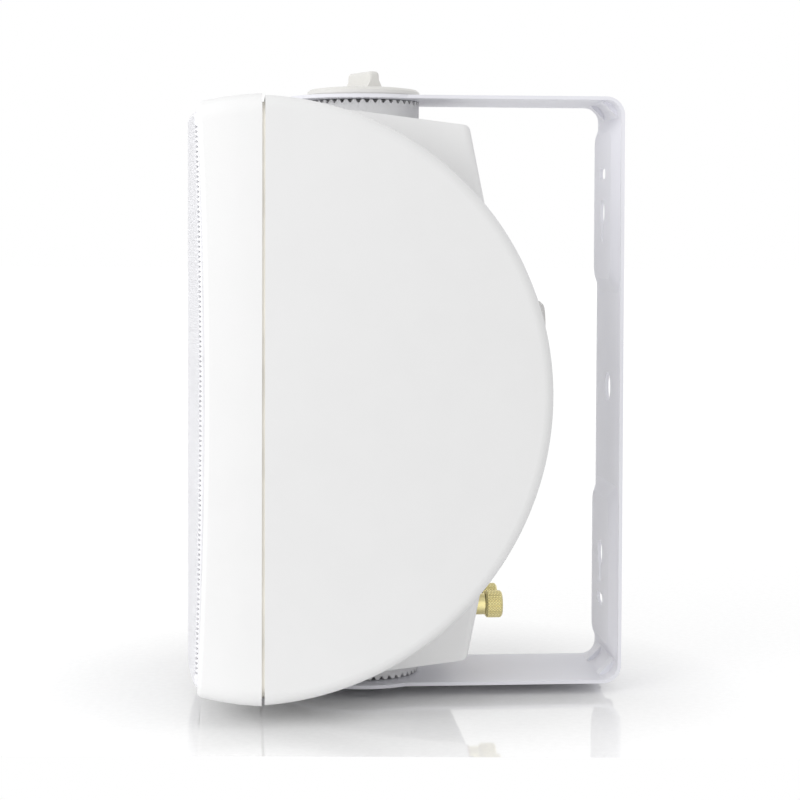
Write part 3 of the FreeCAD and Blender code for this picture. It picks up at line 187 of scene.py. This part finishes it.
def start(name, **sockets):
    """A new material with its Principled shader set, as (material, tree, shader, object coordinates)."""
    material = bpy.data.materials.new(name)
    material.use_nodes = True
    tree = material.node_tree
    shader = tree.nodes["Principled BSDF"]
    feed(shader, sockets)
    return material, tree, shader, node(tree, "ShaderNodeTexCoord", {})


def scaled(rgb, factor):
    """A colour made darker or lighter."""
    return tuple(min(1.0, c * factor) for c in rgb)


def grained(name, rgb, grain_mm, depth_mm, rough, shade=0.97, detail=3.0, stretch=(1, 1, 1), **sockets):
    """A finish with a fine grain: two near tones in broad clouds, uneven gloss and a shallow relief."""
    material, tree, shader, place = start(name, **sockets)
    grain = 1 / (grain_mm * MM)
    drawn = node(tree, "ShaderNodeMapping", {"Vector": (place, "Object"), "Scale": stretch})
    fine = node(tree, "ShaderNodeTexNoise", {"Vector": (drawn, "Vector"), "Scale": grain, "Detail": detail})
    cloud = node(tree, "ShaderNodeTexNoise",
                 {"Vector": (place, "Object"), "Scale": grain / GRAINS_IN_CLOUD, "Detail": 2.0})
    tones = node(tree, "ShaderNodeValToRGB", {"Fac": (cloud, "Fac")},
                 stops=((CLOUD_LOW, scaled(rgb, shade)), (CLOUD_HIGH, rgb)))
    gloss = node(tree, "ShaderNodeMapRange", {"Value": (fine, "Fac"), "To Min": rough[0], "To Max": rough[1]})
    relief = node(tree, "ShaderNodeBump", {"Height": (fine, "Fac"), "Distance": depth_mm * MM, "Strength": 1.0})
    feed(shader, {"Base Color": (tones, "Color"), "Roughness": (gloss, "Result"), "Normal": (relief, "Normal")})
    return material


def woven(name, rgb, thread_mm):
    """Plain weave: threads cross at the real spacing and stand a little proud."""
    material, tree, shader, place = start(name, Roughness=0.85)
    weft, warp = (
        node(tree, "ShaderNodeTexWave",
             {"Vector": (place, "Object"), "Scale": WAVE_STEP / (thread_mm * MM), "Distortion": 0.6},
             bands_direction=direction)
        for direction in ("X", "Z"))
    both = node(tree, "ShaderNodeMath", {0: (weft, "Fac"), 1: (warp, "Fac")}, operation="MAXIMUM")
    # Painted shade: the dips between threads are coloured 0.7 as dark as the thread tops, following the bump's
    # height.
    tones = node(tree, "ShaderNodeValToRGB", {"Fac": (both, "Value")}, stops=((0, scaled(rgb, 0.7)), (1, rgb)))
    relief = node(tree, "ShaderNodeBump", {"Height": (both, "Value"), "Distance": 0.15 * MM, "Strength": 1.0})
    feed(shader, {"Base Color": (tones, "Color"), "Normal": (relief, "Normal")})
    return material


def wound(name, rgb, wire_mm):
    """Wire wound in layers along the piece's axis: one band a turn, glossy enamel."""
    material, tree, shader, place = start(name, Metallic=0.85, Roughness=0.32)
    turns = node(tree, "ShaderNodeTexWave",
                 {"Vector": (place, "Object"), "Scale": WAVE_STEP / (wire_mm * MM), "Distortion": 0.1},
                 bands_direction="Y")
    # Painted shade: the grooves between turns are coloured 0.55 as dark as the wire tops, following the bump's
    # height.
    tones = node(tree, "ShaderNodeValToRGB", {"Fac": (turns, "Fac")}, stops=((0, scaled(rgb, 0.55)), (1, rgb)))
    relief = node(tree, "ShaderNodeBump", {"Height": (turns, "Fac"), "Distance": 0.2 * MM, "Strength": 1.0})
    feed(shader, {"Base Color": (tones, "Color"), "Normal": (relief, "Normal")})
    return material


def knurled(name, rgb, middle, pitch_mm):
    """Diamond knurl round a level axis along Y: two crossing sets of helical grooves on the grip alone."""
    material, tree, shader, place = start(name, Metallic=1.0, Roughness=0.35)
    local = node(tree, "ShaderNodeMapping", {"Vector": (place, "Object"), "Location": -middle})
    axes = node(tree, "ShaderNodeSeparateXYZ", {0: (local, "Vector")})
    angle = node(tree, "ShaderNodeMath", {0: (axes, "Z"), 1: (axes, "X")}, operation="ARCTAN2")
    flat = node(tree, "ShaderNodeVectorMath", {0: (local, "Vector"), 1: (1, 0, 1)}, operation="MULTIPLY")
    radius = node(tree, "ShaderNodeVectorMath", {0: (flat, "Vector")}, operation="LENGTH")
    grip = node(tree, "ShaderNodeMath", {0: (radius, "Value"), 1: GRIP_FOOT_MM * MM}, operation="GREATER_THAN")
    starts = round(GRIP_ROUND_MM / pitch_mm)
    around = node(tree, "ShaderNodeMath", {0: (angle, "Value"), 1: starts}, operation="MULTIPLY")
    waves = []
    for lead in (1, -1):
        rise = lead * 2 * math.pi / (pitch_mm * MM)
        along = node(tree, "ShaderNodeMath", {0: (axes, "Y"), 1: rise, 2: (around, "Value")},
                     operation="MULTIPLY_ADD")
        waves.append(node(tree, "ShaderNodeMath", {0: (along, "Value")}, operation="SINE"))
    points = node(tree, "ShaderNodeMath", {0: (waves[0], "Value"), 1: (waves[1], "Value")}, operation="MINIMUM")
    height = node(tree, "ShaderNodeMath", {0: (points, "Value"), 1: (grip, "Value")}, operation="MULTIPLY")
    # Painted shade: the knurl's grooves are coloured 0.7 as dark as its crests, following the same height as the
    # bump.
    shade = node(tree, "ShaderNodeMapRange", {"Value": (height, "Value"), "From Min": -1.0, "From Max": 0.4})
    tones = node(tree, "ShaderNodeValToRGB", {"Fac": (shade, "Result")}, stops=((0, scaled(rgb, 0.7)), (1, rgb)))
    relief = node(tree, "ShaderNodeBump", {"Height": (height, "Value"), "Distance": 0.05 * MM, "Strength": 1.0})
    feed(shader, {"Base Color": (tones, "Color"), "Normal": (relief, "Normal")})
    return material


def make_finishes(colours):
    """The finish of every material slot in the record."""
    made = {}
    # Spark-eroded ABS: a fine even grain that keeps highlights broad and soft.
    made["white_moulding"] = grained(
        "ABS, spark-textured white", tuple(colours.moulding), 0.45, 0.012, (0.46, 0.58), 0.99)
    # Smoother ABS, a touch warmer and glossier than the cabinet.
    made["white_knob"] = grained("ABS, moulded warm white", tuple(colours.knob), 0.6, 0.008, (0.38, 0.5))
    # Powder coat: a faint orange peel about a millimetre across.
    made["white_bracket"] = grained(
        "Powder-coated steel, bracket", tuple(colours.bracket), 1.1, 0.015, (0.36, 0.46))
    # The same coat, thinner over the pierced sheet, so the peel is shallower.
    made["white_grille"] = grained(
        "Powder-coated steel, grille", tuple(colours.grille), 1.1, 0.01, (0.4, 0.5))
    # Closed-cell foam: cells about half a millimetre, dull.
    made["grey_gasket"] = grained("Closed-cell foam", tuple(colours.gasket), 0.5, 0.08, (0.8, 0.95), 0.85)
    # Gold flash over turned brass: fine lathe lines round the post.
    made["gold_plate"] = grained(
        "Gold-plated brass", tuple(colours.gold), 0.3, 0.004, (0.18, 0.3), 0.92, 2.0, (1, 0.15, 1), Metallic=1.0)
    # Bare brass: darker and browner than the plate, with lathe lines round an upright axis.
    made["brass"] = grained(
        "Turned brass", linear("B8934A"), 0.3, 0.006, (0.28, 0.4), 0.9, 2.0, (1, 1, 0.15), Metallic=1.0)
    # Bright zinc: a cool grey shine with a slight crystal clouding.
    made["steel"] = grained(
        "Zinc-plated steel", linear("A9ADB2"), 0.5, 0.006, (0.3, 0.42), 0.9, Metallic=1.0)
    # Glass-filled nylon: half matt, with a mottle where fibres lie near the skin.
    made["black_plastic"] = grained(
        "Glass-filled nylon, black", linear("1B1B1C"), 0.4, 0.01, (0.45, 0.6), 0.8)
    made["red_plastic"] = grained("Glass-filled nylon, red", linear("A81F1F"), 0.4, 0.01, (0.45, 0.6), 0.85)
    # Stove paint on pressed steel: soft black with a light peel.
    made["black_frame"] = grained(
        "Black-painted pressed steel", linear("1E1E20"), 0.9, 0.012, (0.42, 0.55), 0.8)
    # Paper pulp: matted fibres that leave the cone uneven and dull.
    made["paper_cone"] = grained(
        "Coated paper pulp, black", linear("242424"), 1.6, 0.06, (0.6, 0.8), 0.75, 6.0)
    # Butyl rubber: an even dark satin.
    made["rubber_roll"] = grained("Butyl rubber", linear("19191A"), 0.5, 0.006, (0.5, 0.62), 0.85)
    # Doped silk: a tight weave under lacquer, seen as a fine sheen.
    made["silk_dome"] = grained("Coated silk", linear("262628"), 0.3, 0.01, (0.4, 0.55), 0.8)
    # Sintered ferrite: charcoal grey with a ground, gritty face.
    made["ferrite"] = grained("Sintered ferrite", linear("3A3A3C"), 0.8, 0.03, (0.5, 0.7), 0.8)
    # Glazed ceramic: an off-white body with a soft shine.
    made["ceramic"] = grained("Glazed ceramic", linear("DAD7CC"), 0.7, 0.015, (0.4, 0.55), 0.94)
    # Film wrap: smooth yellow tape with a clear gloss.
    made["capacitor_film"] = grained("Polyester film wrap", linear("D8B62C"), 0.8, 0.01, (0.3, 0.4), 0.92)
    # Glass-epoxy laminate: green lacquer over a faint cloth grain.
    made["board"] = grained("Glass-epoxy board, green", linear("2C6B3E"), 0.7, 0.01, (0.3, 0.42), 0.88)
    # Acoustic cloth: half-millimetre threads, drawn coarse enough to show behind the holes.
    made["grey_cloth"] = woven("Acoustic cloth, grey", linear("8A8A8C"), 0.5)
    # Varnished cotton: a coarse amber weave.
    made["spider_cloth"] = woven("Varnished cotton", linear("B7985A"), 0.9)
    # Enamelled wire: side-by-side turns with a copper gloss.
    made["copper"] = wound("Enamelled copper wire", linear("B06A3C"), 0.6)
    return made


def deselect():
    """Leave nothing selected."""
    bpy.ops.object.select_all(action="DESELECT")


def give(obj, material):
    """Put one material on an object."""
    obj.data.materials.clear()
    obj.data.materials.append(material)


def finish_of(slot):
    """The finish made for a slot, made once for the scene."""
    if not FINISHES:
        FINISHES.update(make_finishes(bpy.context.scene.speaker_colours))
    return FINISHES[slot]


FINISHES = {}


class SPEAKER_OT_finishes(bpy.types.Operator):
    """Give every CAD piece the finish of its material slot"""
    bl_idname = "speaker.finishes"
    bl_label = "Finishes"

    def execute(self, context):
        gold = tuple(context.scene.speaker_colours.gold)
        for name, obj in NODES.items():
            if name.startswith("post_nut"):
                low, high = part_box(name)
                # The post nuts get the knurl, with painted shade in its grooves.
                give(obj, knurled("Knurled gold, " + name, gold, (low + high) / 2, KNURL_PITCH_MM))
            else:
                give(obj, finish_of(SLOT_OF[name]))
        return {"FINISHED"}


def apply_modifiers(obj):
    """Apply the object's modifiers in order."""
    for modifier in list(obj.modifiers):
        bpy.ops.object.modifier_apply(modifier=modifier.name)


def array(obj, count, offset):
    """Repeat the object's mesh so many times at a fixed step."""
    modifier = obj.modifiers.new("Repeat", "ARRAY")
    modifier.use_relative_offset = False
    modifier.use_constant_offset = True
    modifier.constant_offset_displace = offset
    modifier.count = count


def bisect(points_and_normals):
    """Trim the mesh in edit mode by planes, keeping what lies behind each."""
    for point, normal in points_and_normals:
        bpy.ops.mesh.select_all(action="SELECT")
        bpy.ops.mesh.bisect(plane_co=point, plane_no=normal, clear_outer=True, threshold=1e-7)


def outline_planes(half_width, half_height, corner):
    """Trimming planes of a rounded rectangle: two sides and, at each corner, four short chords."""
    planes = [((half_width, 0, 0), (1, 0, 0)), ((-half_width, 0, 0), (-1, 0, 0))]
    planes += [((0, 0, half_height), (0, 0, 1)), ((0, 0, -half_height), (0, 0, -1))]
    for across in (-1, 1):
        for up in (-1, 1):
            middle = Vector((across * (half_width - corner), 0, up * (half_height - corner)))
            for degrees in CORNER_CHORDS:
                turn = math.radians(degrees)
                normal = Vector((across * math.cos(turn), 0, up * math.sin(turn)))
                planes.append((middle + normal * corner, normal))
    return planes


def pierced_sheet(name, sizes, low, high, half_width, half_height):
    """A flat sheet of hexagon cells from low to high, its cells pierced except along the outline."""
    deselect()
    pitch = sizes.hole_pitch
    column = pitch * math.sqrt(3) / 2
    upright = Matrix(((0, -1, 0), (0, 0, -1), (1, 0, 0))).to_euler()
    columns = 2 * math.ceil((half_width + pitch) / (2 * column)) + 2
    rows = math.ceil((high - low) / pitch) + 3
    corner = (-columns * column, -SHEET_AHEAD, (math.floor(low / pitch) - 0.5) * pitch)
    bpy.ops.mesh.primitive_circle_add(
        vertices=6, radius=pitch / math.sqrt(3), fill_type="NGON", location=corner, rotation=upright)
    obj = bpy.context.object
    obj.name = name
    bpy.ops.object.transform_apply(location=True, rotation=True, scale=True)
    array(obj, 2, (column, 0, pitch / 2))
    array(obj, columns, (2 * column, 0, 0))
    array(obj, rows, (0, 0, pitch))
    apply_modifiers(obj)
    bpy.ops.object.mode_set(mode="EDIT")
    bpy.ops.mesh.select_mode(type="FACE")
    bpy.ops.mesh.select_all(action="SELECT")
    bpy.ops.mesh.remove_doubles(threshold=pitch / 50)
    bpy.ops.mesh.select_all(action="DESELECT")
    bpy.ops.object.mode_set(mode="OBJECT")
    side = half_width - sizes.margin - sizes.hole_width / 2
    end = half_height - sizes.end_margin - sizes.hole_width / 2
    for face in obj.data.polygons:
        face.select = inside(face.center, side, end, sizes.corner - sizes.margin)
    bpy.ops.object.mode_set(mode="EDIT")
    bpy.ops.mesh.inset(thickness=(pitch - sizes.hole_width) / 2, use_individual=True)
    bpy.ops.mesh.delete(type="FACE")
    ends = [((0, 0, high), (0, 0, 1)), ((0, 0, low), (0, 0, -1))]
    bisect(ends + outline_planes(half_width, half_height, sizes.corner))
    bpy.ops.object.mode_set(mode="OBJECT")
    return obj


def inside(point, half_width, half_height, corner):
    """Whether a point lies inside an upright rounded rectangle."""
    across = max(abs(point.x) - (half_width - corner), 0)
    up = max(abs(point.z) - (half_height - corner), 0)
    return math.hypot(across, up) < corner if across and up else max(across, up) < corner


def press_to_form(obj, form):
    """Press the flat sheet back onto the CAD grille's front."""
    press = obj.modifiers.new("Press", "SHRINKWRAP")
    press.target = form
    press.wrap_method = "PROJECT"
    press.use_project_x = False
    press.use_project_y = True
    press.use_project_z = False
    press.use_positive_direction = True
    press.use_negative_direction = False
    apply_modifiers(obj)
    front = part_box("grille")[0][1]
    missed = [vertex.co for vertex in obj.data.vertices if vertex.co.y < front - 0.1 * MM]
    if missed:
        raise RuntimeError("%d points of %s missed the form, such as %s" % (len(missed), obj.name, missed[0]))


def turn_edge(obj, depth, half_width, half_height, corner):
    """Turn the sheet's outer edge back, as the pressed grille's flange."""
    near = 0.25 * MM
    vertices = obj.data.vertices
    bpy.ops.object.mode_set(mode="EDIT")
    bpy.ops.mesh.select_mode(type="EDGE")
    bpy.ops.mesh.select_all(action="DESELECT")
    bpy.ops.object.mode_set(mode="OBJECT")
    uses = {}
    for face in obj.data.polygons:
        for key in face.edge_keys:
            uses[key] = uses.get(key, 0) + 1
    for edge in obj.data.edges:
        middle = (vertices[edge.vertices[0]].co + vertices[edge.vertices[1]].co) / 2
        on_rim = not inside(middle, half_width - near, half_height - near, corner)
        edge.select = uses.get(edge.key, 0) == 1 and on_rim
    bpy.ops.object.mode_set(mode="EDIT")
    bpy.ops.mesh.extrude_region_move(TRANSFORM_OT_translate={"value": (0, depth, 0)})
    bpy.ops.mesh.select_all(action="SELECT")
    bpy.ops.mesh.normals_make_consistent(inside=False)
    bpy.ops.object.mode_set(mode="OBJECT")


class SPEAKER_OT_grille(bpy.types.Operator):
    """Make the pierced grille in two halves over the CAD grille's form"""
    bl_idname = "speaker.grille"
    bl_label = "Grille"

    def execute(self, context):
        sizes = context.scene.speaker_sizes
        form = NODES["grille"]
        low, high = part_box("grille")
        half_width = (high[0] - low[0]) / 2 - OUTLINE_IN
        half_height = (high[2] - low[2]) / 2 - OUTLINE_IN
        halves = []
        for name, bottom, top in (("grille_lower", -half_height, 0.0), ("grille_upper", 0.0, half_height)):
            obj = pierced_sheet(name, sizes, bottom, top, half_width, half_height)
            press_to_form(obj, form)
            turn_edge(obj, sizes.flange, half_width, half_height, sizes.corner)
            wall = obj.modifiers.new("Sheet", "SOLIDIFY")
            wall.thickness = sizes.sheet
            wall.offset = -1
            apply_modifiers(obj)
            bpy.ops.object.shade_smooth_by_angle(angle=SMOOTH_ANGLE)
            give(obj, finish_of("white_grille"))
            halves.append(obj)
        for obj in halves:
            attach(obj, "speaker")
            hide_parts("grille")
        return {"FINISHED"}


def lamp(name, place, aim, size, watts):
    """A soft area lamp that looks at a point."""
    data = bpy.data.lights.new(name, "AREA")
    data.shape = "DISK"
    data.size = size
    data.energy = watts
    obj = bpy.data.objects.new(name, data)
    bpy.context.collection.objects.link(obj)
    obj.location = place
    # Out of reflections, so that no lamp shows as a disc in the glossy floor.
    obj.visible_glossy = False
    obj.rotation_euler = (Vector(aim) - Vector(place)).to_track_quat("-Z", "Y").to_euler()


def seen_rays(tree):
    """One for camera, glossy and transmission rays, and nought for the rays that light the object."""
    path = node(tree, "ShaderNodeLightPath", {})
    some = node(tree, "ShaderNodeMath", {0: (path, "Is Camera Ray"), 1: (path, "Is Glossy Ray")},
                operation="MAXIMUM")
    return node(tree, "ShaderNodeMath", {0: (some, "Value"), 1: (path, "Is Transmission Ray")},
                operation="MAXIMUM")


class SPEAKER_OT_stage(bpy.types.Operator):
    """Set the floor, the soft lamps, the world and the camera"""
    bl_idname = "speaker.stage"
    bl_label = "Studio"

    def execute(self, context):
        scene = context.scene
        scene.view_settings.view_transform = "Standard"
        low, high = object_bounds()
        self.floor(context, low.z - FLOOR_GAP)
        self.world(scene)
        for name, (place, size, watts) in LAMPS.items():
            lamp(name, place, (low + high) / 2, size, watts)
        self.camera(scene)
        return {"FINISHED"}

    def floor(self, context, level):
        """The sheet that the speaker stands on, its front edge square to the view."""
        deselect()
        front = Vector((FLOOR_FRONT, FLOOR_MIDDLE, level))
        middle = front - Matrix.Rotation(-VIEW_YAW, 3, "Z") @ Vector((FLOOR_SIZE / 2, 0, 0))
        bpy.ops.mesh.primitive_plane_add(size=FLOOR_SIZE, location=middle, rotation=(0, 0, -VIEW_YAW))
        floor = context.object
        floor.name = "studio_floor"
        give(floor, self.sweep())
        floor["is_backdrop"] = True

    def sweep(self):
        """Gloss-white sweep: it keeps the cast contact shadow and a faint mirror image, adds a painted shadow
        round the foot by holding back its camera-only glow there, and is white elsewhere.
        """
        material, tree, shader, place = start("Gloss-white acrylic sweep", Roughness=0.04, IOR=1.5)
        fine = node(tree, "ShaderNodeTexNoise",
                    {"Vector": (place, "Object"), "Scale": 1 / (3 * MM), "Detail": 3.0})
        tones = node(tree, "ShaderNodeValToRGB", {"Fac": (fine, "Fac")},
                     stops=((CLOUD_LOW, linear("FAFAFA")), (CLOUD_HIGH, linear("FDFDFD"))))
        # Painted shadow: the glow seen by the camera is nought near the foot and rises with distance from it.
        foot = node(tree, "ShaderNodeMapping",
                    {"Vector": (place, "Object"), "Location": (FLOOR_FRONT - FLOOR_SIZE / 2, 0, 0)})
        away = node(tree, "ShaderNodeVectorMath", {0: (foot, "Vector")}, operation="LENGTH")
        clear = node(tree, "ShaderNodeMapRange",
                     {"Value": (away, "Value"), "From Min": SHADOW_NEAR, "From Max": SHADOW_FAR,
                      "To Min": 0.0, "To Max": FLOOR_LIFT})
        lift = node(tree, "ShaderNodeMath", {0: (seen_rays(tree), "Value"), 1: (clear, "Result")},
                    operation="MULTIPLY")
        feed(shader, {"Base Color": (tones, "Color"), "Emission Color": (1, 1, 1, 1),
                      "Emission Strength": (lift, "Value")})
        return material

    def world(self, scene):
        """Plain white to the rays that are seen, and an even soft light to the rest."""
        world = bpy.data.worlds.new("Studio")
        world.use_nodes = True
        scene.world = world
        tree = world.node_tree
        ambient = tree.nodes["Background"]
        feed(ambient, {"Color": (1, 1, 1, 1), "Strength": AMBIENT})
        white = node(tree, "ShaderNodeBackground", {"Color": (1, 1, 1, 1), "Strength": 1.0})
        mix = node(tree, "ShaderNodeMixShader",
                   {0: (seen_rays(tree), "Value"), 1: (ambient, "Background"), 2: (white, "Background")})
        feed(tree.nodes["World Output"], {"Surface": (mix, "Shader")})

    def camera(self, scene):
        """The photograph's camera: square on the cheek, a little above, with a slight rise of the lens."""
        data = bpy.data.cameras.new("photo_camera")
        data.sensor_width = SENSOR_WIDTH
        data.lens = PHOTO_FOCAL / PHOTO_WIDTH * SENSOR_WIDTH
        data.shift_y = VIEW_RISE
        level = Vector((-math.cos(VIEW_YAW), math.sin(VIEW_YAW), 0))
        ahead = level * math.cos(VIEW_PITCH) + Vector((0, 0, math.sin(VIEW_PITCH)))
        side = Vector((math.sin(VIEW_YAW), math.cos(VIEW_YAW), 0))
        above = side.cross(ahead)
        right = side * math.cos(VIEW_ROLL) + above * math.sin(VIEW_ROLL)
        up = above * math.cos(VIEW_ROLL) - side * math.sin(VIEW_ROLL)
        obj = bpy.data.objects.new("photo_camera", data)
        bpy.context.collection.objects.link(obj)
        place = Matrix((right, up, -ahead)).transposed().to_4x4()
        place.translation = VIEW_PLACE
        obj.matrix_world = place
        scene.camera = obj


class SPEAKER_PT_panel(bpy.types.Panel):
    """The speaker's sizes, colours and making steps"""
    bl_label = "Wall Speaker"
    bl_idname = "SPEAKER_PT_panel"
    bl_space_type = "VIEW_3D"
    bl_region_type = "UI"
    bl_category = "Speaker"

    def draw(self, context):
        for group in (context.scene.speaker_sizes, context.scene.speaker_colours):
            box = self.layout.box()
            for name in group.__annotations__:
                box.prop(group, name)
        for step in STEPS:
            self.layout.operator(step.bl_idname)


STEPS = (SPEAKER_OT_finishes, SPEAKER_OT_grille, SPEAKER_OT_stage)
CLASSES = (SpeakerSizes, SpeakerColours, *STEPS, SPEAKER_PT_panel)


def register():
    for cls in CLASSES:
        bpy.utils.register_class(cls)
    bpy.types.Scene.speaker_sizes = PointerProperty(type=SpeakerSizes)
    bpy.types.Scene.speaker_colours = PointerProperty(type=SpeakerColours)


def unregister():
    del bpy.types.Scene.speaker_colours
    del bpy.types.Scene.speaker_sizes
    for cls in reversed(CLASSES):
        bpy.utils.unregister_class(cls)


def main():
    register()
    bpy.ops.speaker.finishes()
    bpy.ops.speaker.grille()
    bpy.ops.speaker.stage()


if __name__ == "__main__":
    main()
